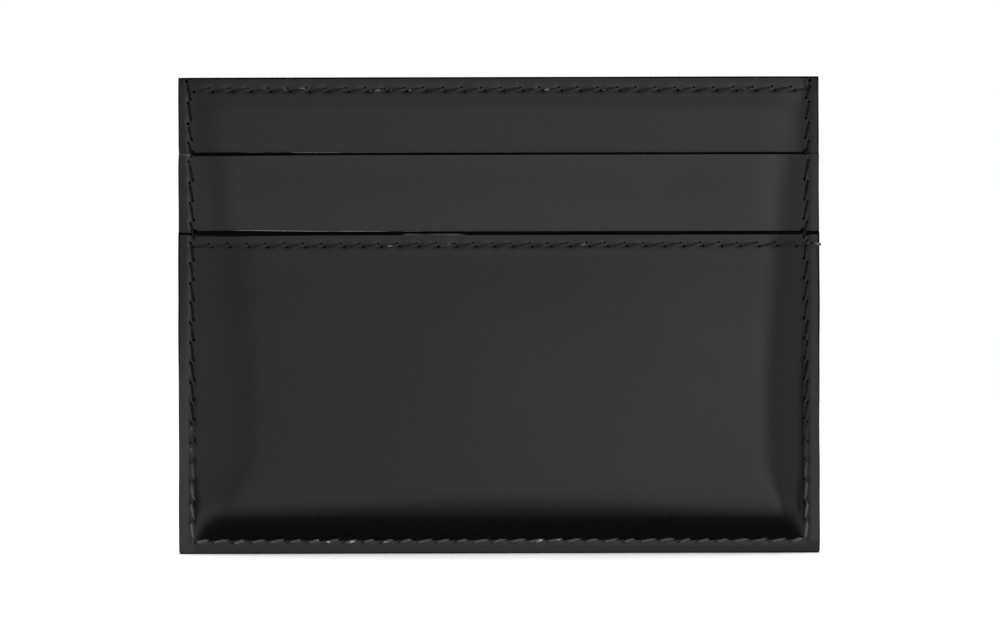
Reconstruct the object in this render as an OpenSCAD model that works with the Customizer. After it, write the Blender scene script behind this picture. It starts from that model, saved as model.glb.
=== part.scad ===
// Card holder: a front half and a back half, sewn to each other round the sides and the bottom.
// Width is along X, thickness along Y with the front at -Y, and height along Z with the pocket mouths up.
// The origin is under the middle of the bottom edge. Units are millimetres.
//
// Each half is a stack of formed sheets. From the middle plane outwards: panel lining, panel, upper pocket
// lining, upper pocket, lower pocket lining, lower pocket. At the seams the sheets lie flat on each other.
// Inside the seams they rise over a smooth slope, which leaves room for one card in each slot.

/* [Outline] */
// Width over the painted edges
body_w = 100; // [98:0.5:110]
// Height over the painted edges
body_h = 74.3; // [70:0.1:90]
// Height of the strip of panel that shows above the upper pocket
top_band = 12; // [8:0.1:16]
// Height of the strip of upper pocket that shows above the lower pocket
middle_band = 12.3; // [8:0.1:16]

/* [Layers] */
// Thickness of the panel's leather
panel_t = 0.6; // [0.4:0.05:0.8]
// Thickness of the upper pocket's leather
upper_t = 0.6; // [0.4:0.05:0.8]
// Thickness of the lower pocket's leather
lower_t = 0.7; // [0.4:0.05:0.9]
// Thickness of the lining cloth behind each leather piece
lining_t = 0.2; // [0.15:0.05:0.3]
// Thickness of the paint on every cut edge
paint_t = 0.15; // [0.1:0.05:0.3]
// Room for a card in each card slot
card_gap = 0.8; // [0.8:0.05:1.2]
// Opening of the centre pocket between the two halves
centre_gap = 0.6; // [0.4:0.1:2]
// How far the upper pocket's leather runs down behind the lower pocket
tuck = 11.5; // [8:0.5:16]
// Height at which the stop seam closes the upper pocket
stop_z = 10.5; // [10:0.5:14]

/* [Forming] */
// Width of the flat rim that holds the side and bottom seams
rim_w = 2.5; // [2.4:0.1:3]
// Width of the slope inside each side seam
side_slope = 4.6; // [3:0.1:5]
// Height of the slope above the bottom seam
bottom_slope = 6.5; // [4:0.5:7]
// Flat facets along each slope
slope_steps = 5; // [3:1:8]

/* [Seams] */
// Distance from the side edge to the side seam, over the lower pocket
side_inset = 2.2; // [1.8:0.1:2.3]
// Distance from the side edge to the side seam, at the top
side_inset_top = 1.65; // [1.4:0.05:2.2]
// Distance from the bottom edge to the bottom seam
bottom_inset = 2; // [1.5:0.1:2.3]
// Distance from the top edge to the top seam
top_inset = 1.9; // [1.5:0.1:3]
// Distance from the lower pocket's mouth to its seam
mouth_inset = 1.9; // [1:0.1:3]
// Stitches in the bottom seam
bottom_count = 33; // [28:1:36]
// Stitches in each side seam
side_count = 23; // [18:1:26]
// Stitches in the seam along the top edge
top_count = 32; // [28:1:36]
// Stitches in the seam along the lower pocket's mouth
mouth_count = 33; // [28:1:36]
// Stitches in the hidden seam that stops the cards in the upper pocket
stop_count = 28; // [20:1:30]
// Length of thread that shows in one stitch
thread_run = 2.1; // [1.5:0.1:2.2]
// Width of the thread
thread_w = 0.45; // [0.3:0.05:0.6]
// How far the thread stands out of the leather
thread_h = 0.2; // [0.1:0.05:0.3]
// Lean of each stitch from the line of its seam
lean = 18; // [0:1:30]

/* [Hidden] */

leather_colour = [0.10, 0.10, 0.105];
lining_colour = [0.16, 0.16, 0.17];
thread_colour = [0.24, 0.24, 0.25];
paint_colour = [0.03, 0.03, 0.032];

leather_x = body_w / 2 - paint_t;
slope_x = body_w / 2 - rim_w;
upper_mouth_z = body_h - top_band;
lower_mouth_z = upper_mouth_z - middle_band;
tuck_z = lower_mouth_z - tuck;
far = body_w;

// Each surface is a pair: how far it stands from the middle plane at the rim, and inside the slopes
panel_back = [0, centre_gap / 2];
panel_face = raised(panel_back, lining_t + panel_t);
upper_back = [panel_face[0], panel_face[1] + card_gap];
upper_face = raised(upper_back, lining_t + upper_t);
lower_back = [upper_back[0] + lining_t, upper_face[1] + card_gap];
lower_face = raised(lower_back, lining_t + lower_t);

// The lower pocket's rim climbs over the hidden end of the upper pocket's leather between these heights
climb_start = tuck_z - 2.5;
climb_rate = 0.5;

// Heights above the stop seam between which the upper pocket leaves the panel and gains its full room
stop_rise = [0.7, 5];

// Clearance of a thread over the facets of a slope, and of a cutting tool past a face
thread_clear = 0.05;
over = 1;

function raised(surface, t) = [surface[0] + t, surface[1] + t];

function smooth(t) = (1 - cos(180 * min(1, max(0, t)))) / 2;

// Share of the full rise at a place across the width, and up the height
function share_x(x) = smooth((slope_x - abs(x)) / side_slope);
function share_z(z) = smooth((z - rim_w) / bottom_slope);

// Distance of a surface from the middle plane, at a place where only the sides slope
function level_at(surface, x) = surface[0] + (surface[1] - surface[0]) * share_x(x);

// Place across the width of one of a slope's corners, from 0 at the rim to slope_steps at the field
function slope_corner(i) = slope_x - side_slope * i / slope_steps;

// Outline of a surface across the width, as [x, distance] points from left to right
function across(surface) = [
    [-far, surface[0]],
    for (i = [0 : slope_steps]) [-slope_corner(i), level_at(surface, slope_corner(i))],
    for (i = [slope_steps : -1 : 0]) [slope_corner(i), level_at(surface, slope_corner(i))],
    [far, surface[0]]
];

// Outline of a surface up the height, as [distance, z] points from the bottom to the top
function upward(surface) = [
    [surface[0], -far],
    for (i = [0 : slope_steps]) let (z = rim_w + bottom_slope * i / slope_steps)
        [surface[0] + (surface[1] - surface[0]) * share_z(z), z],
    [surface[1], far]
];

// Straight rise up the height, between two [distance, z] points
function rise(low, high) = [[low[0], -far], low, high, [high[0], far]];

// Distance of the rim's face from the middle plane at a height
function rim_face(z) =
    z >= upper_mouth_z ? panel_face[0] :
    z >= lower_mouth_z ? upper_face[0] :
    lower_face[0] + min(upper_t, max(0, (z - climb_start) * climb_rate));

// Distance from the side edge to the side seam at a height
function side_seam_inset(z) =
    side_inset + (side_inset_top - side_inset) * max(0, z - lower_mouth_z) / (body_h - lower_mouth_z);

// Everything between the middle plane and a surface. It reaches depth past the middle plane.
module tent(surface, height_outline, depth) {
    intersection() {
        translate([0, 0, -far / 2])
            linear_extrude(2 * far)
                polygon(concat([[-far, -depth]], across(surface), [[far, -depth]]));
        rotate([90, 0, 90])
            linear_extrude(2 * far, center = true)
                polygon(concat([[-depth, -far]], height_outline, [[-depth, far]]));
    }
}

module behind_panel(lift, depth) {
    surface = raised(panel_back, lift);
    tent(surface, upward(surface), depth);
}

module behind_upper(lift, depth) {
    surface = raised(upper_back, lift);
    behind_panel(lining_t + panel_t + lift, depth);
    tent(surface, rise([surface[0], stop_z + stop_rise[0]], [surface[1], stop_z + stop_rise[1]]), depth);
}

module behind_lower(lift, depth) {
    surface = raised(lower_back, lift);
    climbed = [surface[0] + upper_t, surface[1]];
    climb_end = climb_start + (surface[1] - surface[0]) / climb_rate;
    tent(surface, upward(surface), depth);
    tent(climbed, rise([surface[0], climb_start], [surface[1], climb_end]), depth);
}

// A formed sheet between two heights. Child 0 lies under its face, and child 1 lies under its back.
module sheet(low_z, high_z) {
    difference() {
        intersection() {
            children(0);
            translate([-leather_x, -far, low_z])
                cube([2 * leather_x, 2 * far, high_z - low_z]);
        }
        children(1);
    }
}

module panel_sheet(from, to, low_z, high_z) {
    sheet(low_z, high_z) {
        behind_panel(to, over);
        behind_panel(from, 2 * over);
    }
}

module upper_sheet(from, to, low_z, high_z) {
    sheet(low_z, high_z) {
        behind_upper(to, over);
        behind_upper(from, 2 * over);
    }
}

module lower_sheet(from, to, low_z, high_z) {
    sheet(low_z, high_z) {
        behind_lower(to, over);
        behind_lower(from, 2 * over);
    }
}

// One run of thread, lying on the plane y = 0 and leaning by an angle towards +Z
module thread_bar(angle) {
    rotate([0, -angle, 0])
        translate([-thread_run / 2, 0, -thread_w / 2])
            cube([thread_run, thread_h, thread_w]);
}

// A seam of count stitches along X over a surface, from one half width to the other, at height z
module cross_seam(surface, z, half_length, count, angle) {
    pitch = 2 * half_length / count;
    for (i = [0 : count - 1]) {
        x = (i + 0.5) * pitch - half_length;
        low = level_at(surface, x - thread_run / 2);
        high = level_at(surface, x + thread_run / 2);
        crown = max(0, level_at(surface, x) - (low + high) / 2);
        translate([x, (low + high) / 2 + crown + thread_clear * (low == high ? 0 : 1), z])
            rotate([0, 0, atan((high - low) / thread_run)])
                thread_bar(angle);
    }
}

// The seam round the rim, as it shows on one face
module rim_seam(bottom_angle) {
    side_pitch = (body_h - 2 * paint_t - bottom_inset) / side_count;
    flat_rim = [lower_face[0], lower_face[0]];
    cross_seam(flat_rim, bottom_inset, body_w / 2 - side_inset, bottom_count, bottom_angle);
    for (side = [-1, 1])
        for (i = [0 : side_count - 1]) {
            z = bottom_inset + (i + 0.5) * side_pitch;
            step = max(rim_face(z - thread_run / 2), rim_face(z + thread_run / 2));
            translate([side * (body_w / 2 - side_seam_inset(z)), step, z])
                thread_bar(90 - side * lean);
        }
}

// Painted edge round the sides and the bottom, as thick as the sewn rim at each height
module rim_band() {
    profile = [
        [lower_face[0], -over],
        [lower_face[0], climb_start],
        [lower_face[0] + upper_t, climb_start + upper_t / climb_rate],
        [lower_face[0] + upper_t, lower_mouth_z],
        [upper_face[0], lower_mouth_z],
        [upper_face[0], upper_mouth_z],
        [panel_face[0], upper_mouth_z],
        [panel_face[0], body_h + over]
    ];
    mirrored = [for (i = [len(profile) - 1 : -1 : 0]) [-profile[i][0], profile[i][1]]];
    intersection() {
        difference() {
            translate([-body_w / 2, -far, 0])
                cube([body_w, 2 * far, body_h]);
            translate([-leather_x, -2 * far, paint_t])
                cube([2 * leather_x, 4 * far, body_h]);
        }
        rotate([90, 0, 90])
            linear_extrude(2 * far, center = true)
                polygon(concat(profile, mirrored));
    }
}

module front() {
    mirror([0, 1, 0])
        children();
}

// The pieces of one half, modelled on the +Y side

module panel() {
    color(leather_colour)
        panel_sheet(lining_t, lining_t + panel_t, paint_t, body_h - paint_t);
}

module panel_lining() {
    color(lining_colour)
        panel_sheet(0, lining_t, paint_t, body_h - paint_t);
}

module upper_pocket() {
    color(leather_colour)
        upper_sheet(lining_t, lining_t + upper_t, tuck_z, upper_mouth_z - paint_t);
}

module upper_pocket_lining() {
    color(lining_colour)
        upper_sheet(0, lining_t, paint_t, upper_mouth_z - paint_t);
}

module lower_pocket() {
    color(leather_colour)
        lower_sheet(lining_t, lining_t + lower_t, paint_t, lower_mouth_z - paint_t);
}

module lower_pocket_lining() {
    color(lining_colour)
        lower_sheet(0, lining_t, paint_t, lower_mouth_z - paint_t);
}

module top_thread(angle) {
    color(thread_colour)
        cross_seam(panel_face, body_h - top_inset, body_w / 2 - side_inset, top_count, angle);
}

module mouth_thread(angle) {
    climbed = [lower_face[0] + upper_t, lower_face[1]];
    color(thread_colour)
        cross_seam(climbed, lower_mouth_z - mouth_inset, body_w / 2 - side_inset, mouth_count, angle);
}

module stop_thread(angle) {
    color(thread_colour)
        cross_seam(raised(panel_face, lining_t), stop_z, slope_x - side_slope, stop_count, angle);
}

module top_paint() {
    color(paint_colour)
        panel_sheet(0, lining_t + panel_t, body_h - paint_t, body_h);
}

module upper_mouth_paint() {
    color(paint_colour)
        upper_sheet(0, lining_t + upper_t, upper_mouth_z - paint_t, upper_mouth_z);
}

module lower_mouth_paint() {
    color(paint_colour)
        lower_sheet(0, lining_t + lower_t, lower_mouth_z - paint_t, lower_mouth_z);
}

// Front half

module front_panel() { front() panel(); }
module front_panel_lining() { front() panel_lining(); }
module front_upper_pocket() { front() upper_pocket(); }
module front_upper_pocket_lining() { front() upper_pocket_lining(); }
module front_lower_pocket() { front() lower_pocket(); }
module front_lower_pocket_lining() { front() lower_pocket_lining(); }
module front_top_thread() { front() top_thread(lean); }
module front_mouth_thread() { front() mouth_thread(lean); }
module front_stop_thread() { front() stop_thread(lean); }
module front_top_paint() { front() top_paint(); }
module front_upper_mouth_paint() { front() upper_mouth_paint(); }
module front_lower_mouth_paint() { front() lower_mouth_paint(); }

// Back half

module back_panel() { panel(); }
module back_panel_lining() { panel_lining(); }
module back_upper_pocket() { upper_pocket(); }
module back_upper_pocket_lining() { upper_pocket_lining(); }
module back_lower_pocket() { lower_pocket(); }
module back_lower_pocket_lining() { lower_pocket_lining(); }
module back_top_thread() { top_thread(-lean); }
module back_mouth_thread() { mouth_thread(-lean); }
module back_stop_thread() { stop_thread(-lean); }
module back_top_paint() { top_paint(); }
module back_upper_mouth_paint() { upper_mouth_paint(); }
module back_lower_mouth_paint() { lower_mouth_paint(); }

// The seam and the painted edge that hold both halves together

module rim_needle_thread() {
    color(thread_colour)
        front() rim_seam(lean);
}

module rim_bobbin_thread() {
    color(thread_colour)
        rim_seam(-lean);
}

module rim_paint() {
    color(paint_colour)
        rim_band();
}

front_panel();
front_panel_lining();
front_upper_pocket();
front_upper_pocket_lining();
front_lower_pocket();
front_lower_pocket_lining();
front_top_thread();
front_mouth_thread();
front_stop_thread();
front_top_paint();
front_upper_mouth_paint();
front_lower_mouth_paint();
back_panel();
back_panel_lining();
back_upper_pocket();
back_upper_pocket_lining();
back_lower_pocket();
back_lower_pocket_lining();
back_top_thread();
back_mouth_thread();
back_stop_thread();
back_top_paint();
back_upper_mouth_paint();
back_lower_mouth_paint();
rim_needle_thread();
rim_bobbin_thread();
rim_paint();
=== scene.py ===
# %% [markdown]
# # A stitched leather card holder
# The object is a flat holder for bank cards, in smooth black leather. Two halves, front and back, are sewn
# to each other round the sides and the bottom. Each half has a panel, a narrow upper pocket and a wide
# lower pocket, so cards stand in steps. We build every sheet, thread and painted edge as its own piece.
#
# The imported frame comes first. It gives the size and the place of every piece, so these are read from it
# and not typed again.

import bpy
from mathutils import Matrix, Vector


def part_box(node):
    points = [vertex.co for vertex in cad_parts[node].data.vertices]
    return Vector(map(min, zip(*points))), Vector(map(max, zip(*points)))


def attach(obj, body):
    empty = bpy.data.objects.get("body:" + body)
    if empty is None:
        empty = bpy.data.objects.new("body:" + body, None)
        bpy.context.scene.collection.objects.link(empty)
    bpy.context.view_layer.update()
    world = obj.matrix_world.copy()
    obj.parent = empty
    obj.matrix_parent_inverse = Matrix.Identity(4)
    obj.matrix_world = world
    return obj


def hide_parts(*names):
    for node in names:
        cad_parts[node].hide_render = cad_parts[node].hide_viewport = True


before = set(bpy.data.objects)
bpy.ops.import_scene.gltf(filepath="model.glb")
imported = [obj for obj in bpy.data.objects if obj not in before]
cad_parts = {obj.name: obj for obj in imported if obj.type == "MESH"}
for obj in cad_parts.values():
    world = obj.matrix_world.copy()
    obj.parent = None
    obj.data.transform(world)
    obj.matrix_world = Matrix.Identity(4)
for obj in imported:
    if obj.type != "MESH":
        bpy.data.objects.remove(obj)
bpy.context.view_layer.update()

# %% [markdown]
# A card holder is a matter of tenths of a millimetre, so we think in millimetres while we shape things, and
# scale each finished piece to metres once. Distances through the holder are counted from its middle plane
# outwards, as a leather worker would stack the sheets. The front faces -Y, and the back half is the same
# work turned round the vertical axis.

# %% Units and the main heights
import math
import random

import bmesh
import bpy
from mathutils import Matrix, Vector, kdtree

MM = 0.001


def box_mm(node):
    low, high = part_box(node)
    return low / MM, high / MM


half_width = box_mm("rim_paint")[1].x
top_z = box_mm("rim_paint")[1].z
upper_mouth = box_mm("front_upper_mouth_paint")[1].z
lower_mouth = box_mm("front_lower_mouth_paint")[1].z
tuck_z = box_mm("front_upper_pocket")[0].z
print(f"half width {half_width:.2f}, height {top_z:.2f} mm")
print(f"mouths at {upper_mouth:.2f} and {lower_mouth:.2f} mm")

# %% [markdown]
# Every sheet lies flat in the sewn rim and rises inside the seams, where the cards go. Leather that is sewn
# down and then filled doesn't rise in an S: it leaves the stitches steeply and flattens out, as a pillow
# does. One number from 0 to 1, the share of the full rise, describes this for all the sheets. Because they
# share it, they nest. The rise is quicker towards the bottom corners, and on the left above the lower
# mouth. A run is the distance from a seam in which the full rise is reached.

# %% The rise inside the seams
BOTTOM_SEAM = 2.0
SIDE_INSET = 2.2
SIDE_INSET_TOP = 1.65
PILLOW = 3.0
LEFT_RUN, RIGHT_RUN, BOTTOM_RUN = 12.0, 9.3, 11.0
LEFT_SHORTER, BOTTOM_SHORTER = 4.5, 2.9
CORNER_SHARE, SHARE_REGAINED = 0.56, 0.44
BOTTOM_MIDDLE = 27
TUCK, TUCK_RUN = 0.2, 1.7


def clamp(t):
    return min(1.0, max(0.0, t))


def ease(t):
    t = clamp(t)
    return t * t * (3 - 2 * t)


def side_seam(z):
    """Distance of the side seams from the middle of the width, at a height."""
    up = clamp((z - lower_mouth) / (top_z - lower_mouth))
    return half_width - SIDE_INSET + (SIDE_INSET - SIDE_INSET_TOP) * up


def pillow(t):
    """From 0 to 1, quick at first and flattening out."""
    return 1 - (1 - clamp(t)) ** PILLOW


def rise(x, z):
    """The share of the full rise at a place in the width and the height."""
    side_run = LEFT_RUN - LEFT_SHORTER * ease((z - 46) / 6) if x < 0 else RIGHT_RUN
    side_run *= CORNER_SHARE + SHARE_REGAINED * ease((z - 6) / 9)
    bottom_run = BOTTOM_RUN - BOTTOM_SHORTER * (1 - math.exp(-((x / BOTTOM_MIDDLE) ** 2)))
    beside, above = side_seam(z) - 0.1 - abs(x), z - BOTTOM_SEAM - 0.2
    return pillow(beside / side_run) * pillow(above / bottom_run)


def flare(x, z):
    """How far the rim stands out beside its tight seam. The sides lean a little, each in its own way, and
    the bottom and the top are pressed thin."""
    beside = max(0.0, abs(x) - side_seam(z))
    below, above = max(0.0, BOTTOM_SEAM - z), max(0.0, z - top_z + 1.5)
    left_slope, right_slope = 0.08 - 0.14 * ease((z - 14) / 38), 0.0012 * z - 0.03
    bottom_slope, top_slope = 0.14 + 0.05 * x / half_width, 0.1
    return (left_slope if x < 0 else right_slope) * beside - (bottom_slope * below + top_slope * above)


def tuck_in(x, z):
    """The last steep step down to the side seams, where the tight thread draws every sheet in."""
    inside = max(0.0, side_seam(z) - abs(x))
    return TUCK * (1 - math.exp(-inside / TUCK_RUN)) * ease((z - BOTTOM_SEAM) / 4)


print("share of the rise, 4 mm above the bottom seam:", round(rise(0, BOTTOM_SEAM + 4), 3))

# %% [markdown]
# A layer is one sheet of the stack. The frame says how far its face stands from the middle plane at the rim
# and inside the seams. On top of that come the small departures that make leather look like leather: a
# sheet lies closer to what is behind it near its upper edge, because leather wants to be flat, the lower
# pocket bulges over its cards, and every sheet carries long, shallow waves from being handled. Below the
# stop seam, where no card goes, the upper pocket's lining comes down by the room of one card.

# %% Layers of one half
THICKNESS = {
    "panel_lining": 0.2,
    "panel": 0.6,
    "upper_pocket_lining": 0.2,
    "upper_pocket": 0.6,
    "lower_pocket_lining": 0.2,
    "lower_pocket": 0.7,
}
CLIMB = THICKNESS["upper_pocket"]
CLIMB_RUN = 14
STOP_SEAM = 10.5
CARD_GAP = 0.8
BULGE = 0.7
LOWER_SLACK, UPPER_SLACK, TOP_SLACK = 0.38, 0.3, 0.3
LOWER_SLACK_RUN, UPPER_SLACK_RUN = 16, 9
LONG_WAVE, SHORT_WAVE = 0.05, 0.012


class Layer:
    """One sheet: its heights, its thickness, and how far its face stands from the middle plane."""

    def __init__(self, name):
        low, high = box_mm("front_" + name)
        self.name = name
        self.thickness = THICKNESS[name]
        self.low_z, self.high_z = low.z, high.z
        self.rim = self.thickness - high.y
        self.field = -low.y
        self.pocket = name.replace("_lining", "")

    def face(self, x, z):
        """Distance of the sheet's outer face from the middle plane, at a place."""
        share = rise(x, z)
        rim, field = self.rim, self.field
        if self.pocket == "lower_pocket":
            rim += CLIMB * ease((z - tuck_z + CLIMB_RUN) / CLIMB_RUN)
            slack = LOWER_SLACK - 0.1 * x / half_width
            field -= slack * ease((z - lower_mouth + LOWER_SLACK_RUN) / LOWER_SLACK_RUN)
            field += BULGE * math.sin(math.pi * clamp(z / lower_mouth)) * (1 - (x / half_width) ** 2)
        if self.pocket == "upper_pocket":
            field -= UPPER_SLACK * ease((z - upper_mouth + UPPER_SLACK_RUN) / UPPER_SLACK_RUN)
        if self.pocket == "panel":
            field -= TOP_SLACK * ease((z - top_z + 6) / 4.5)
        if self.name == "upper_pocket_lining":
            resting = field - CARD_GAP
            field = resting + (field - resting) * ease((z - STOP_SEAM - 0.7) / 6)
        return rim + flare(x, z) + tuck_in(x, z) + (field - rim + self.waves(x, z)) * share

    def waves(self, x, z):
        turn = {"panel": 0.4, "upper_pocket": 1.9, "lower_pocket": 3.1}[self.pocket]
        long = math.sin(x / 17 + z / 31 + turn) * math.cos(z / 23 - x / 40 + 2 * turn)
        short = math.sin(x / 9.5 - z / 14 + 3 * turn) * math.sin(z / 8.5 + turn)
        return LONG_WAVE * long + SHORT_WAVE * short


layers = {name: Layer(name) for name in THICKNESS}
for layer in layers.values():
    heights = f"z {layer.low_z:.2f} to {layer.high_z:.2f}"
    print(f"{layer.name}: rim {layer.rim:.2f}, field {layer.field:.2f}, {heights}")

# %% [markdown]
# The seams are machine lockstitch, sewn with a needle that cuts a small slanted slit. The thread leaves one
# end of a slit, crosses the leather, and goes down at the far end of the next slit, so each stitch leans a
# little. A seam is a list of needle holes, and a direction in which its stitches climb across the row. From
# that we later get the slits in the leather, the groove that the tight thread presses, and the thread
# itself.

# %% Seams
TOP_INSET = 1.9
MOUTH_INSET = 1.9
SLIT_ALONG = 0.31
SLIT_ACROSS = 0.22
STRAY_ALONG, STRAY_ACROSS = 0.07, 0.04
GROOVE_DEPTH, GROOVE_WIDTH = 0.14, 0.4
SIDE_PITS, BOTTOM_PITS = (1.15, 1.3), (1.1, 0.7)
STOP_REACH = 42.9


class Seam:
    """A row of stitches between two places in the plane of the width and the height. The sizes are those of
    the pits where its thread goes down, and where it comes up. A side seam isn't straight, so it has a
    function, place, that gives its x at a height."""

    def __init__(self, start, end, count, climb, place=None, tension=1.0, sizes=(0.9, 1.15)):
        self.start, self.end, self.count = Vector(start), Vector(end), count
        self.climb = Vector(climb)
        self.along = (self.end - self.start).normalized()
        self.pitch = (self.end - self.start).length / count
        self.place = place
        self.tension = tension
        chance = random.Random(count + round(self.start.y * 10))
        self.slits = [self.slit(i, chance) for i in range(count + 1)]
        # The thread comes up at the first slit and goes down at the last. A side seam starts in the hole of
        # the bottom seam's end, which is already there.
        self.holes = [(down, sizes[0]) for down, _ in self.slits[1:]]
        self.holes += [(up, sizes[1]) for _, up in self.slits[bool(place):-1]]

    def slit(self, i, chance):
        """The two ends of a slit: where the thread goes down, and where it comes up again."""
        at = self.start.lerp(self.end, i / self.count)
        if self.place:
            at.x = self.place(at.y)
        astray = self.along * chance.uniform(-STRAY_ALONG, STRAY_ALONG)
        astray += self.climb * chance.uniform(-STRAY_ACROSS, STRAY_ACROSS)
        at += astray
        half = self.along * (SLIT_ALONG + chance.uniform(-0.04, 0.05))
        half -= self.climb * (SLIT_ACROSS + chance.uniform(-0.04, 0.05))
        return at - half, at + half

    def groove(self, x, z):
        """How far the thread presses the leather in at a place."""
        across = x - self.place(z) if self.place else z - self.start.y
        if abs(across) > 1.5:
            return 0.0
        stitches = ((z - self.start.y) if self.place else (x - self.start.x)) / self.pitch
        within = ease(stitches + 0.4) * ease(self.count + 0.4 - stitches)
        depth = self.tension * within * (0.7 + 0.3 * math.cos(2 * math.pi * stitches))
        return GROOVE_DEPTH * depth * math.exp(-((across / GROOVE_WIDTH) ** 2))


side_x = half_width - SIDE_INSET
side_top = top_z - 0.6
top_row, mouth_row = top_z - TOP_INSET, lower_mouth - MOUTH_INSET
left_low, right_low = (-side_x, BOTTOM_SEAM), (side_x, BOTTOM_SEAM)
bottom_seam = Seam(left_low, right_low, 33, (0, 1), sizes=BOTTOM_PITS)
left_seam = Seam(left_low, (-side_x, side_top), 23, (-1, 0), lambda z: -side_seam(z), sizes=SIDE_PITS)
right_seam = Seam(right_low, (side_x, side_top), 23, (1, 0), side_seam, sizes=SIDE_PITS)
# These two run on across the right side seam, almost to the edge.
top_seam = Seam((-side_x, top_row), (half_width - 1.0, top_row), 32, (0, 1), tension=0.9)
mouth_seam = Seam((-side_x, mouth_row), (half_width - 0.9, mouth_row), 33, (0, 1), tension=0.9)
stop_seam = Seam((-STOP_REACH, STOP_SEAM), (STOP_REACH, STOP_SEAM), 28, (0, 1))
print("stitch lengths:", [round(s.pitch, 2) for s in (bottom_seam, left_seam, top_seam, mouth_seam)])

# %% [markdown]
# A leather sheet starts as a flat grid, whose lines are close together near the seams and wider apart
# elsewhere. That puts the mesh where the shape is: a groove half a millimetre wide needs lines closer than
# that, and a covered part doesn't. The grid is moved onto the layer's face, and extruded for its thickness.
# A sheet stops just short of its edges, where the rounded bead of edge paint takes over.

# %% A formed sheet
RIM_BEAD = 0.22
UNDER_BEAD = 0.03
CREASE_ANGLE = math.radians(50)
LEFT_RIM, RIGHT_RIM, RIM_STEP = -48.0, 47.4, 0.7
COVERED_PITCH = 2.2
LINING_PITCH = 1.2


class Mouth:
    """The upper edge of a sheet, with its bead of paint. The crown reaches a little above the height, and
    the bead begins at its lip, a depth below the crown. The bead can swell near its left end, and is pressed
    flat where it lies in the sewn rim. Along its back can run a low ridge, which is the lining's own edge.
    Light grey can be painted on as a highlight on that ridge, at the left end, and on a stretch of the
    front."""

    def __init__(
        self, height, reach, depth, swell=0.0, flat_left=1.0, flat_right=1.0, ridge=0.0, end_wear=0.0,
        front_highlight=0.0,
    ):
        self.height, self.reach, self.depth, self.swell = height, reach, depth, swell
        self.flat_left, self.flat_right, self.ridge = flat_left, flat_right, ridge
        self.end_wear, self.front_highlight = end_wear, front_highlight

    def crown_and_lip(self, x):
        left, right = 1 - ease((x - LEFT_RIM) / RIM_STEP), ease((x - RIGHT_RIM) / RIM_STEP)
        full = self.swell * (1 - left) * ease((-27 - x) / 15)
        flat = 1 + (self.flat_left - 1) * left + (self.flat_right - 1) * right
        crown = self.height + self.reach * flat + 0.6 * full
        return crown, crown - (self.depth + full) * flat


mouths = {
    "panel": Mouth(top_z, reach=0.06, depth=0.3),
    "upper_pocket": Mouth(
        upper_mouth, reach=0.2, depth=0.42, swell=0.2, flat_left=0.25, flat_right=0.3, ridge=0.1,
        end_wear=1.0,
    ),
    "lower_pocket": Mouth(
        lower_mouth, reach=0.18, depth=0.62, swell=0.28, flat_left=0.6, flat_right=0.95, ridge=0.17,
        front_highlight=0.32,
    ),
}


def evenly(low, high, pitch):
    """Places from low up to, but not at, high, about a pitch apart."""
    count = round((high - low) / pitch)
    return [low + (high - low) * i / count for i in range(count)]


def grid_lines(low, high, rows=(), pitch=0.42, covered=None):
    """Places of grid lines between two edges: closest at a seam's row, widest below the covered height."""
    close = [r + 0.3 * i for r in rows for i in range(-3, 4)]
    close = [c for c in close if low + 0.1 < c < high - 0.1] + [low, high]
    start = low if covered is None else max(low, covered)
    even = evenly(start, high, pitch)
    if start > low:
        even += evenly(low, start, COVERED_PITCH)
    return sorted(close + [e for e in even if all(abs(e - c) > 0.6 * pitch for c in close)])


def flat_grid(columns, rows):
    """A grid in the plane y = 0, with a line at each place."""
    bm = bmesh.new()
    bmesh.ops.create_grid(bm, x_segments=len(columns) - 1, y_segments=len(rows) - 1, size=1)
    for v in bm.verts:
        i = round((v.co.x + 1) / 2 * (len(columns) - 1))
        j = round((v.co.y + 1) / 2 * (len(rows) - 1))
        v.co = (columns[i], 0, rows[j])
    return bm


def thicken(bm, depth):
    """Gives an open sheet its thickness: a copy of its faces is moved back, and its edges are walled."""
    made = bmesh.ops.extrude_face_region(bm, geom=bm.faces[:])
    copies = [e for e in made["geom"] if isinstance(e, bmesh.types.BMVert)]
    bmesh.ops.translate(bm, vec=(0, depth, 0), verts=copies)
    bmesh.ops.recalc_face_normals(bm, faces=bm.faces[:])


def finish_piece(bm, name, material, turned=False):
    """Turns a piece to its own side, scales it to metres and puts it in the place of its CAD node."""
    bm = bm.copy()
    if turned:
        bmesh.ops.rotate(bm, matrix=Matrix.Rotation(math.pi, 3, "Z"), verts=bm.verts[:])
    bmesh.ops.scale(bm, vec=(MM, MM, MM), verts=bm.verts[:])
    for face in bm.faces:
        face.smooth = True
    for edge in bm.edges:
        edge.smooth = edge.smooth and edge.calc_face_angle(0) < CREASE_ANGLE
    mesh = bpy.data.meshes.new(f"formed_{name}")
    bm.to_mesh(mesh)
    bm.free()
    mesh.materials.append(material)
    piece = bpy.data.objects.new(f"formed_{name}", mesh)
    bpy.context.scene.collection.objects.link(piece)
    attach(piece, "root")
    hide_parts(name)
    print(f"{name}: {len(mesh.polygons)} faces")
    return piece


def both_halves(bm, node, material):
    """The same piece in the front half and, turned round, in the back half."""
    halves = ("front", "back")
    pieces = [finish_piece(bm, f"{half}_{node}", material, half == "back") for half in halves]
    bm.free()
    return pieces


for name, mouth in mouths.items():
    print(f"{name}: crown and lip at", [round(z, 2) for z in mouth.crown_and_lip(0)])

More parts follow.
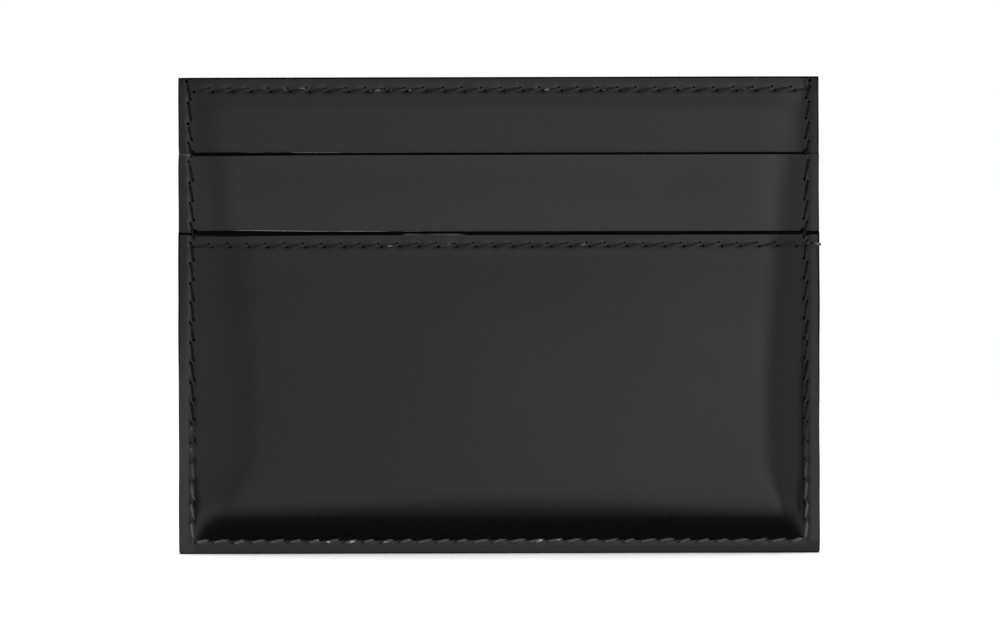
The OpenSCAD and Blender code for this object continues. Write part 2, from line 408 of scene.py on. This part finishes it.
# %% [markdown]
# The needle leaves real pits. At both ends of a slit we take the nearest grid vertex and draw it to the
# place, together with its neighbours, so that the mesh stays even. A place too close to one that is already
# taken is left out. A beveled vertex where four edges meet becomes a small diamond, which is the shape that
# such a needle cuts. We stretch it along the slit, and poke its face inwards to make a pit with steep walls.

# %% Needle pits
PIT_SIZE = 0.18
PIT_DEPTH = 0.5
PIT_WIDTH, PIT_STRETCH = 1.25, 0.75
PULL = 0.95
CROWDED = 0.5


def mark_pits(bm, seams, low_z, high_z):
    """Draws the mesh to the ends of each slit, and returns those vertices with the thread's direction."""
    bm.verts.ensure_lookup_table()
    tree = kdtree.KDTree(len(bm.verts))
    for v in bm.verts:
        tree.insert(v.co, v.index)
    tree.balance()
    marked = {}
    for seam in seams:
        run = (seam.along + 0.3 * seam.climb).normalized()
        for place, size in seam.holes:
            at = Vector((place.x, 0, place.y))
            found, index, _ = tree.find(at)
            crowded = any((at - other).length < CROWDED for other, _, _ in marked.values())
            if index in marked or crowded or not low_z < place.y < high_z:
                continue
            marked[index] = (at, Vector((run.x, 0, run.y)), size)
            for co, near, away in tree.find_range(found, PULL):
                if near not in marked:
                    bm.verts[near].co += (at - found) * ease(1 - away / PULL)
    for index, (at, _, _) in marked.items():
        bm.verts[index].co = at
    return [(bm.verts[index], run, size) for index, (_, run, size) in marked.items()]


def open_pits(bm, marked):
    """Opens a pit at each marked vertex of a closed sheet."""
    centres = [(v.co.copy(), run, size) for v, run, size in marked]
    made = bmesh.ops.bevel(
        bm, geom=[v for v, _, _ in marked], offset=PIT_SIZE, offset_type="OFFSET", segments=1, profile=0.5,
        affect="VERTICES", material=-1, clamp_overlap=True,
    )
    for face in made["faces"]:
        middle = face.calc_center_median()
        centre, run, size = min(centres, key=lambda c: (c[0] - middle).length_squared)
        for v in face.verts:
            away = v.co - centre
            v.co = centre + size * (PIT_WIDTH * away + PIT_STRETCH * run * away.dot(run))
        for edge in face.edges:
            edge.smooth = False
    bmesh.ops.poke(bm, faces=made["faces"], offset=-PIT_DEPTH, center_mode="MEAN")


print(f"a pit is {PIT_DEPTH} mm deep, and no two are closer than {CROWDED} mm")

# %% [markdown]
# Each leather piece comes with its lining, which has the same outline and is glued to its back. The lining
# is plain, so a wider grid is enough for it. Both are declared as sheets, with their flat sizes.

# %% Leather and lining together


def lowest_line(layer):
    """Where the mesh of a sheet begins: at its own low edge, or just inside the rim's bead."""
    return layer.low_z if layer.low_z > 1 else RIM_BEAD - UNDER_BEAD


def sheet_pair(name, seams, open_from, open_to, leather_look, lining_look):
    """A leather with slits where its seams are in the open, between two heights, and its lining."""
    layer, back = layers[name], layers[name + "_lining"]
    reach = half_width - RIM_BEAD + UNDER_BEAD
    high = layer.high_z - 0.5
    covered = open_from - 1
    rows = sorted({s.start.y for s in seams if not s.place})
    columns = grid_lines(-reach, reach, (-side_x, side_x))
    bm = flat_grid(columns, grid_lines(lowest_line(layer), high, rows, covered=covered))
    marked = mark_pits(bm, seams, open_from, open_to)
    for v in bm.verts:
        lip = mouths[name].crown_and_lip(v.co.x)[1]
        v.co.z += (lip + UNDER_BEAD - high) * ease((v.co.z - high + 1.2) / 1.2)
        x, z = v.co.x, v.co.z
        pressed = sum(s.groove(x, z) for s in seams) if z > covered else 0
        v.co.y = pressed - layer.face(x, z)
    thicken(bm, layer.thickness)
    open_pits(bm, marked)
    pieces = both_halves(bm, name, leather_look)
    columns = grid_lines(-reach, reach, pitch=LINING_PITCH)
    bm = flat_grid(columns, grid_lines(lowest_line(back), high, pitch=LINING_PITCH))
    for v in bm.verts:
        v.co.y = -back.face(v.co.x, v.co.z)
    thicken(bm, back.thickness)
    linings = both_halves(bm, name + "_lining", lining_look)


# %% [markdown]
# Shader maths reads best as a formula. The class below wraps one output socket of a node tree, so that
# `0.4 + 0.1 * noise` adds the two Math nodes by itself. Any other node comes from its method node, which
# takes the node's type, its settings, and the values or links of its sockets. Three short functions make
# the textures and the reliefs that several materials need, with their sizes in millimetres.

# %% A socket that does arithmetic


class Wire:
    """An output socket, with operators that add Math nodes."""

    def __init__(self, tree, socket=None):
        self.tree, self.socket = tree, socket

    def node(self, kind, settings=None, inputs=None, output=0):
        made = self.tree.nodes.new("ShaderNode" + kind)
        for key, value in (settings or {}).items():
            setattr(made, key, value)
        for key, value in (inputs or {}).items():
            if isinstance(value, Wire):
                self.tree.links.new(value.socket, made.inputs[key])
            else:
                made.inputs[key].default_value = value
        return Wire(self.tree, made.outputs[output])

    def maths(self, operation, first, second=0.0):
        return self.node("Math", {"operation": operation}, {0: first, 1: second})

    def __add__(self, other):
        return self.maths("ADD", self, other)

    def __radd__(self, other):
        return self.maths("ADD", other, self)

    def __sub__(self, other):
        return self.maths("SUBTRACT", self, other)

    def __rsub__(self, other):
        return self.maths("SUBTRACT", other, self)

    def __mul__(self, other):
        return self.maths("MULTIPLY", self, other)

    def __rmul__(self, other):
        return self.maths("MULTIPLY", other, self)

    def mix(self, first, second):
        """A colour between two colours, by this value."""
        return self.node("Mix", {"data_type": "RGBA"}, {0: self, 6: first, 7: second}, output=2)

    def between(self, low, high, start=0.0, end=1.0):
        """This value's way from low to high, smoothed, as a value from start to end."""
        limits = {"Value": self, "From Min": low, "From Max": high, "To Min": start, "To Max": end}
        return self.node("MapRange", {"interpolation_type": "SMOOTHSTEP"}, limits)


def per_mm(size):
    """The scale of a texture whose pattern repeats about once in this many millimetres."""
    return 1 / (size * MM)


def noise(place, size, detail, **more):
    """Noise from 0 to 1, with patches of about this size in millimetres."""
    return place.node("TexNoise", {}, {"Vector": place, "Scale": per_mm(size), "Detail": detail, **more})


def stripes(place, size, **more):
    """Slanted stripes from 0 to 1, about this many millimetres apart."""
    settings = {"wave_type": "BANDS", "bands_direction": "DIAGONAL"}
    values = {"Vector": place, "Scale": per_mm(size) / 20, **more}
    return place.node("TexWave", settings, values, output="Fac")


def relief(height, strength, depth):
    """The bump of a height from 0 to 1, of a depth in millimetres."""
    return height.node("Bump", {}, {"Strength": strength, "Distance": depth * MM, "Height": height})


def new_material(name, **constants):
    """A material, its Principled shader's inputs, and a wire to start its maths from."""
    print("material", name)
    material = bpy.data.materials.new(name)
    material.use_nodes = True
    tree = material.node_tree
    shader = tree.nodes["Principled BSDF"]
    for key, value in constants.items():
        shader.inputs[key.replace("_", " ")].default_value = value
    return material, shader.inputs, Wire(tree)


def feed(inputs, **wires):
    """Links wires to the shader's inputs."""
    for key, wire in wires.items():
        wire.tree.links.new(wire.socket, inputs[key.replace("_", " ")])


# %% [markdown]
# The leather is calf, dyed through and polished, with almost no grain. Its colour is nearly nothing, and
# what one sees is the sheen. So the work is in the roughness and in a very fine relief: slow changes from
# polishing, a mottle of a millimetre or two, and pores that only just break the reflection. Each piece of
# the hide has its own place in the pattern, and a slightly different gloss.

# %% Leather


def leather_material(name, shift, gloss):
    material, inputs, start = new_material(name, IOR=gloss)
    place = start.node("TexCoord", output="Object")
    place = start.node("Mapping", {}, {"Vector": place, "Location": (shift, shift / 3, -shift)})
    broad = noise(place, 22, 2.0)
    mottle = noise(place, 1.7, 4.0, Roughness=0.6)
    pores = start.node("TexVoronoi", {}, {"Vector": place, "Scale": per_mm(0.42), "Randomness": 1.0})
    grain = relief(0.6 * mottle + 0.4 * pores, 0.6, 0.02)
    colour = mottle.mix((0.0018, 0.0018, 0.0019, 1), (0.0038, 0.0038, 0.0039, 1))
    rough = 0.22 + 0.07 * broad + 0.05 * mottle
    feed(inputs, Base_Color=colour, Roughness=rough, Normal=grain)
    return material


pieces_of_hide = (("panel", 0.03, 1.515), ("upper_pocket", 0.11, 1.55), ("lower_pocket", 0.2, 1.5))
leather = {name: leather_material(f"polished_leather_{name}", *look) for name, *look in pieces_of_hide}

# %% [markdown]
# The lining is a thin black twill, glued to the leather's back. It shows only as an edge inside a mouth,
# but it is cloth there too: a fine diagonal weave, rough, with no gloss.

# %% Lining


def lining_material():
    material, inputs, start = new_material("black_twill_lining", Roughness=0.85, Sheen_Weight=0.2)
    place = start.node("TexCoord", output="Object")
    weave = stripes(place, 0.35, **{"Distortion": 1.5, "Detail": 2.0, "Detail Scale": 3.0})
    colour = weave.mix((0.004, 0.004, 0.0045, 1), (0.012, 0.012, 0.013, 1))
    feed(inputs, Base_Color=colour, Normal=relief(weave, 0.6, 0.05))
    return material


lining = lining_material()

# %% [markdown]
# The thread is bonded polyester, twisted from plies. It is dyed black. Low on the holder its colour is
# painted lighter grey, most of all along the bottom edge, for the light that falls on it there. Here and
# there a small glint is painted into its colour as a highlight, and the thread's end, at the right edge, is
# made light grey too. The plies are a stripe that runs slantwise round the thread.

# %% Thread


def thread_material(name, new, painted_light, painted_light_heights, glint):
    """Thread that is painted lighter grey below the first of two heights in millimetres, where light falls
    on it, and its own black above the second.
    """
    material, inputs, start = new_material(name, IOR=1.3)
    place = start.node("TexCoord", output="Object")
    height = start.node("SeparateXYZ", {}, {0: place}, output="Z")
    light_end = start.node("SeparateXYZ", {}, {0: place}, output="X").between(48.9 * MM, 49.8 * MM)
    plies = stripes(place, 0.3, Distortion=0.6, Detail=1.0)
    fuzz = noise(place, 0.5, 3.0)
    drawn = start.node("Mapping", {}, {"Vector": place, "Scale": (0.4, 1, 1)})
    glint_spots = noise(drawn, 0.7, 2.0).between(0.62, 0.7)
    # Painted light: lower on the holder the thread is coloured lighter grey, standing in for the light that
    # falls on it there.
    wear = height.between(painted_light_heights[0] * MM, painted_light_heights[1] * MM, 1.0, 0.0)
    caught = noise(place, 9, 1.0).between(0.4, 0.6)
    # Painted highlights: small light glints mixed into the thread's colour, and its right end made light
    # grey.
    shine = glint_spots * caught * wear.between(0, 1, 0.1, 1) + 0.5 * light_end
    colour = shine.mix(wear.mix(new, painted_light), (glint, glint, glint, 1))
    feed(inputs, Base_Color=colour, Roughness=0.42 + 0.25 * fuzz, Normal=relief(plies, 0.7, 0.06))
    return material


# Painted light: the grey that the lower threads are coloured, for the light that falls on them.
new_black, painted_light_grey = (0.004, 0.004, 0.0045, 1), (0.085, 0.085, 0.086, 1)
rim_thread = thread_material("rim_thread", new_black, painted_light_grey, (3, 24), 0.55)
fine_black, fine_painted_light = (0.006, 0.006, 0.0065, 1), (0.012, 0.012, 0.0125, 1)
fine_thread = thread_material("fine_thread", fine_black, fine_painted_light, (60, 95), 0.2)

# %% [markdown]
# Cut edges are sealed with several coats of black edge paint, rubbed down and domed over. It is deeper
# black than the leather, with a satin skin that is never quite even. In a few places light grey is painted
# on as a highlight, where an edge catches light. How much comes with the mesh, and noise breaks it up.

# %% Edge paint


def paint_material():
    material, inputs, start = new_material("black_edge_paint", IOR=1.28)
    place = start.node("TexCoord", output="Object")
    uneven = noise(place, 1.2, 3.0)
    # Painted highlights: the mesh says where the paint is coloured light grey for light caught on an edge,
    # and noise breaks it up.
    painted_light = start.node("Attribute", {"attribute_name": "painted_light"}, output="Fac")
    patches = noise(place, 5, 3.0).between(0.25, 0.6)
    highlight_share = (painted_light * patches).between(0.05, 0.7)
    black = uneven.mix((0.0006, 0.0006, 0.0007, 1), (0.0015, 0.0015, 0.0016, 1))
    colour = highlight_share.mix(black, (0.15, 0.15, 0.148, 1))
    feed(inputs, Base_Color=colour, Roughness=0.22 + 0.12 * uneven, Normal=relief(uneven, 0.4, 0.03))
    return material


paint = paint_material()

# %% [markdown]
# Now the sheets of both halves. Each leather is told which seams it carries, and between which heights they
# are in the open: lower down, the next pocket covers it.

# %% Cut and form the sheets
COVERED = 0.7
openings = {
    "panel": (upper_mouth + COVERED, top_z, [left_seam, right_seam, top_seam]),
    "upper_pocket": (lower_mouth + COVERED, upper_mouth - COVERED, [left_seam, right_seam]),
    "lower_pocket": (0.5, lower_mouth - COVERED, [bottom_seam, left_seam, right_seam, mouth_seam]),
}
for name, (open_from, open_to, seams) in openings.items():
    sheet_pair(name, seams, open_from, open_to, leather[name], lining)

# %% [markdown]
# A painted edge is a bead with a domed section, swept along an edge. We roll a grid up into a sleeve: one
# of its directions runs along the edge, the other round the section, and the rolled edges are merged. The
# ends are filled, so that the bead is closed. Light grey is painted on as a highlight on the ridge behind a
# mouth, at the left end of the upper mouth, and on a short stretch of the lower mouth's front.

# %% Painted edges
MOUTH_STEEP, RIM_STEEP = 36, 38
FULL_HIGHLIGHT_RIDGE = 0.12
MERGE = 1e-4


def sleeve(stations, section):
    """A closed tube: section(station) gives the ring at each station, as pairs of point and share of painted
    highlight.
    """
    rings = [section(s) for s in stations]
    around = len(rings[0])
    bm = bmesh.new()
    painted_light = bm.verts.layers.float.new("painted_light")
    bmesh.ops.create_grid(bm, x_segments=len(rings) - 1, y_segments=around, size=1)
    for v in bm.verts:
        i = round((v.co.x + 1) / 2 * (len(rings) - 1))
        j = round((v.co.y + 1) / 2 * around) % around
        v.co, v[painted_light] = rings[i][j]
    bmesh.ops.remove_doubles(bm, verts=bm.verts[:], dist=MERGE)
    bmesh.ops.holes_fill(bm, edges=[e for e in bm.edges if e.is_boundary])
    bmesh.ops.recalc_face_normals(bm, faces=bm.faces[:])
    return bm


def dome(depth, half_thickness, turn, steep):
    """The section of a painted edge, as (outward, through) points. Its sides start a little inside the
    sheet, and it rounds over from an angle, in degrees, to the crown."""
    side = [(-depth - 0.1, half_thickness - 0.08)]
    low = math.radians(steep)
    for i in range(7):
        angle = low + (math.pi / 2 - low) * i / 6
        out = (math.sin(angle) - math.sin(low)) / (1 - math.sin(low))
        inwards = turn * (math.cos(low) - math.cos(angle)) / math.cos(low)
        side.append((-depth * (1 - out), half_thickness - inwards))
    return side + [(o, -t) for o, t in reversed(side)]


def mouth_bead(name):
    """The painted edge along a mouth, over one leather and its lining."""
    layer, mouth = layers[name], mouths[name]
    half_thickness = (layer.thickness + layers[name + "_lining"].thickness) / 2

    def section(x):
        crown, lip = mouth.crown_and_lip(x)
        middle = layer.face(x, lip) - half_thickness
        # Painted highlights on the bead: on the ridge behind it, at the left end, and on a stretch of the
        # front.
        ridge = mouth.ridge * ease((x + 44) / 6) * ease((5 - x) / 38)
        end = mouth.end_wear * ease((-47.9 - x) / 0.5)
        front = mouth.front_highlight * ease((x + 17) / 3) * ease((-3 - x) / 4)
        ring = []
        for o, t in dome(crown - lip, half_thickness, half_thickness, MOUTH_STEEP):
            behind = ease(-t / 0.07) * ease((half_thickness + t) / 0.1)
            wear = max(behind * ridge / FULL_HIGHLIGHT_RIDGE, end, front * ease((t - half_thickness + 0.16) / 0.1))
            ring.append((Vector((x, -middle - t, crown + o + ridge * behind)), min(1.0, wear)))
        return ring

    reach = half_width - 0.08
    bm = sleeve(grid_lines(-reach, reach, (-side_x, side_x), 0.7), section)
    node = name.replace("panel", "top").replace("_pocket", "_mouth") + "_paint"
    both_halves(bm, node, paint)


for name in mouths:
    mouth_bead(name)

# %% [markdown]
# The rim's edge is painted once, over the whole sewn stack, so one bead runs down one side, along the
# bottom and up the other. Its thickness steps down where a pocket ends. The route has tiny round corners,
# and it strays by a few hundredths of a millimetre, as an edge that was sanded by hand does.

# %% The painted rim
CORNER = 0.35
MOUTH_STEP = 0.4
SIDE_STATIONS, BOTTOM_STATIONS = 90, 120


def rim_face(z):
    """Distance of the rim's outermost face from the middle plane at a height."""
    lower, upper, panel = layers["lower_pocket"], layers["upper_pocket"], layers["panel"]
    covered = lower.face(half_width, min(z, lower_mouth))
    at_upper = covered + (upper.rim - covered) * ease((z - lower_mouth) / MOUTH_STEP + 0.5)
    return at_upper + (panel.rim - at_upper) * ease((z - upper_mouth) / MOUTH_STEP + 0.5)


def rim_route():
    """Stations along the rim, as (place, outward direction) pairs of the width and the height."""
    steps = [m + d for m in (lower_mouth, upper_mouth) for d in (-0.3, -0.1, 0.1, 0.3)]
    side = [CORNER + (top_z - 0.02 - CORNER) * i / SIDE_STATIONS for i in range(SIDE_STATIONS + 1)]
    left = [(Vector((-half_width, z)), Vector((-1, 0))) for z in sorted(side + steps, reverse=True)]
    middle = Vector((-half_width + CORNER, CORNER))
    angles = [math.pi / 2 * i / 5 for i in range(1, 5)]
    turn = [Vector((-math.cos(angle), -math.sin(angle))) for angle in angles]
    left += [(middle + CORNER * out, out) for out in turn]
    along = [middle.x - 2 * middle.x * i / BOTTOM_STATIONS for i in range(BOTTOM_STATIONS + 1)]
    bottom = [(Vector((x, 0)), Vector((0, -1))) for x in along]
    right = [(Vector((-at.x, at.y)), Vector((-out.x, out.y))) for at, out in reversed(left)]
    return left + bottom + right


def rim_section(station):
    """The ring of the bead at a station. On the left, the edge is drawn in a little at the upper mouth."""
    at, out = station
    thick = rim_face(at.y) + flare(-half_width if at.x < 0 else half_width, at.y)
    stray = 0.035 * math.sin(at.y / 2.9 + at.x / 7.1) * math.sin(at.y / 6.7 - at.x / 4.3 + 1)
    stray -= 0.07 * math.exp(-(((at.y - upper_mouth) / 0.7) ** 2)) if at.x < 0 else 0
    points = []
    for o, t in dome(RIM_BEAD, thick, 0.3, RIM_STEEP):
        place = at + out * (o + stray * min(1, at.y / 3) - 0.03 * (t / thick) ** 2)
        points.append((Vector((place.x, -t, place.y)), 0.0))
    return points


finish_piece(sleeve(rim_route(), rim_section), "rim_paint", paint)

# %% [markdown]
# The thread is one long strand for each seam. It follows the slits: up at the end of one, over the leather
# in a low arch, and down at the beginning of the next. A curve with a round bevel is the natural tool for
# it, because it only needs the points that the thread passes. The curve is then made a mesh, like every
# other piece.

# %% Sewing
THREAD_RADIUS = 0.235
RIM_THREAD_RADIUS = THREAD_RADIUS + 0.02
BURIED = 0.45


def strand(name, paths, radius):
    """A round strand through points in millimetres, as a bmesh with closed ends."""
    curve = bpy.data.curves.new(name, "CURVE")
    curve.dimensions = "3D"
    curve.bevel_depth = radius
    curve.bevel_resolution = 2
    curve.use_fill_caps = True
    for path in paths:
        spline = curve.splines.new("POLY")
        spline.points.add(len(path) - 1)
        for point, at in zip(spline.points, path):
            point.co = (*at, 1)
    holder = bpy.data.objects.new(name, curve)
    bpy.context.scene.collection.objects.link(holder)
    made = bpy.data.meshes.new_from_object(holder.evaluated_get(bpy.context.evaluated_depsgraph_get()))
    bpy.data.objects.remove(holder)
    bm = bmesh.new()
    bm.from_mesh(made)
    bpy.data.meshes.remove(made)
    bmesh.ops.remove_doubles(bm, verts=bm.verts[:], dist=MERGE)
    bmesh.ops.recalc_face_normals(bm, faces=bm.faces[:])
    return bm


def sew(seam, level, proud, short=0.12):
    """The points of a seam's thread. level(x, z) is the face that it lies on, proud how far it stands out,
    and short how far a stitch may stop short of its slits."""
    chance = random.Random(seam.count + round(seam.start.x))
    path = []
    for (_, start), (end, _) in zip(seam.slits, seam.slits[1:]):
        height = proud + chance.uniform(-0.05, 0.04)
        bend = seam.climb * chance.uniform(-0.06, 0.06)
        tuck = seam.along * chance.uniform(0, short)
        for i in range(11):
            t = i / 10
            arch = math.sin(math.pi * t)
            at = (start + tuck).lerp(end - tuck, t) + bend * arch
            path.append(Vector((at.x, BURIED - (BURIED + height) * arch**0.5 - level(at.x, at.y), at.y)))
    return path


def rim_level(x, z):
    """The face under the rim seam. A tight thread bridges the step at a mouth, so above the stop seam this
    is the highest face within half a millimetre up or down."""
    reach = 0.5 if z > STOP_SEAM else 0
    faces = []
    for height in (z - reach, z, z + reach):
        pocket = "lower_pocket" if height < lower_mouth else "upper_pocket"
        faces.append(layers[pocket if height < upper_mouth else "panel"].face(x, height))
    return max(faces)


needle_paths = [sew(bottom_seam, rim_level, proud=-0.04, short=0.4)]
needle_paths += [sew(seam, rim_level, proud=-0.12) for seam in (left_seam, right_seam)]
bm = strand("rim_thread", needle_paths, RIM_THREAD_RADIUS)
finish_piece(bm, "rim_needle_thread", rim_thread)
finish_piece(bm, "rim_bobbin_thread", rim_thread, turned=True)

for node, seam, layer, proud in (
    ("top_thread", top_seam, layers["panel"], -0.12),
    ("mouth_thread", mouth_seam, layers["lower_pocket"], -0.1),
    ("stop_thread", stop_seam, layers["upper_pocket_lining"], 0.05),
):
    path = sew(seam, layer.face, proud)
    if node == "mouth_thread":
        # The end of this thread is taken round the right edge, and goes in at the middle of its thickness.
        x, z = half_width, mouth_row
        rim = -rim_face(z)
        over = [(x - 0.5, rim - 0.1), (x, rim + 0.1), (x + 0.08, -1.4), (x, -0.2), (x - 0.4, 0)]
        tail = [Vector((a, b, z + 0.1 * (x - a))) for a, b in over]
        finish_piece(strand(node, [path + tail], THREAD_RADIUS), "front_" + node, fine_thread)
        finish_piece(strand(node, [path], THREAD_RADIUS), "back_" + node, fine_thread, turned=True)
    else:
        both_halves(strand(node, [path], THREAD_RADIUS), node, fine_thread)

# %% [markdown]
# The studio is plain: a pale floor, and a wide band of soft light at the height of the object, the same in
# front and behind. It is brightest a little to the right, weaker at both sides, and it ends before it is
# level with the holder. Low on the left it is a little brighter again. Above and below the band it is
# dark, so every surface that turns up or down goes dark too. That is what makes black leather show its
# shape. The camera itself sees plain white in place of the band. A large light overhead is there for the
# floor. The camera looks squarely at the front through a long lens, so the outline stays rectangular.

# %% Floor, lights and camera
scene = bpy.context.scene
scene.view_settings.view_transform = "Standard"

bm = bmesh.new()
bmesh.ops.create_circle(bm, cap_ends=True, segments=64, radius=1.6)
floor_mesh = bpy.data.meshes.new("floor")
bm.to_mesh(floor_mesh)
bm.free()
floor = bpy.data.objects.new("floor", floor_mesh)
scene.collection.objects.link(floor)
floor.visible_glossy = False
floor_mesh.materials.append(new_material("pale_floor", Base_Color=(0.85, 0.85, 0.85, 1), Roughness=0.9)[0])

top_light = bpy.data.lights.new("top_softbox", "AREA")
top_light.size = 5.0
top_light.energy = 200
overhead = bpy.data.objects.new("top_softbox", top_light)
scene.collection.objects.link(overhead)
overhead.location = (0, 0, 2.2)
overhead.visible_glossy = False

world = bpy.data.worlds.new("studio")
scene.world = world
world.use_nodes = True
start = Wire(world.node_tree)
view = start.node("TexCoord")
sideways = start.node("SeparateXYZ", {}, {0: view}, output="X")
up = start.node("SeparateXYZ", {}, {0: view}, output="Z")
band = up.between(-0.74, -0.1) * up.between(0.6, 0.12)
peak = 1.24 * sideways.between(-0.13, 0.17) * sideways.between(0.37, 0.13)
left_side, right_side = 0.2 * sideways.between(-0.15, -0.42), 0.2 * sideways.between(0.33, 0.55)
low_left = 0.3 * sideways.between(0.08, -0.12) * up.between(-0.1, -0.3)
across = 0.34 + peak + left_side + right_side + low_left
ends = (sideways * sideways).between(1.0, 0.93)
glow = 0.04 + across * band * ends
to_camera = start.node("LightPath")
background = world.node_tree.nodes["Background"]
world.node_tree.links.new(to_camera.mix(glow, (1, 1, 1, 1)).socket, background.inputs["Color"])

camera_data = bpy.data.cameras.new("camera")
camera_data.lens = 200
camera = bpy.data.objects.new("camera", camera_data)
scene.collection.objects.link(camera)
scene.camera = camera
camera.location = (0.00016, -0.868, 0.0364)
camera.rotation_euler = (math.radians(90), math.radians(0.14), 0)
print("camera", -camera.location.y, "m in front, lens", camera_data.lens, "mm")
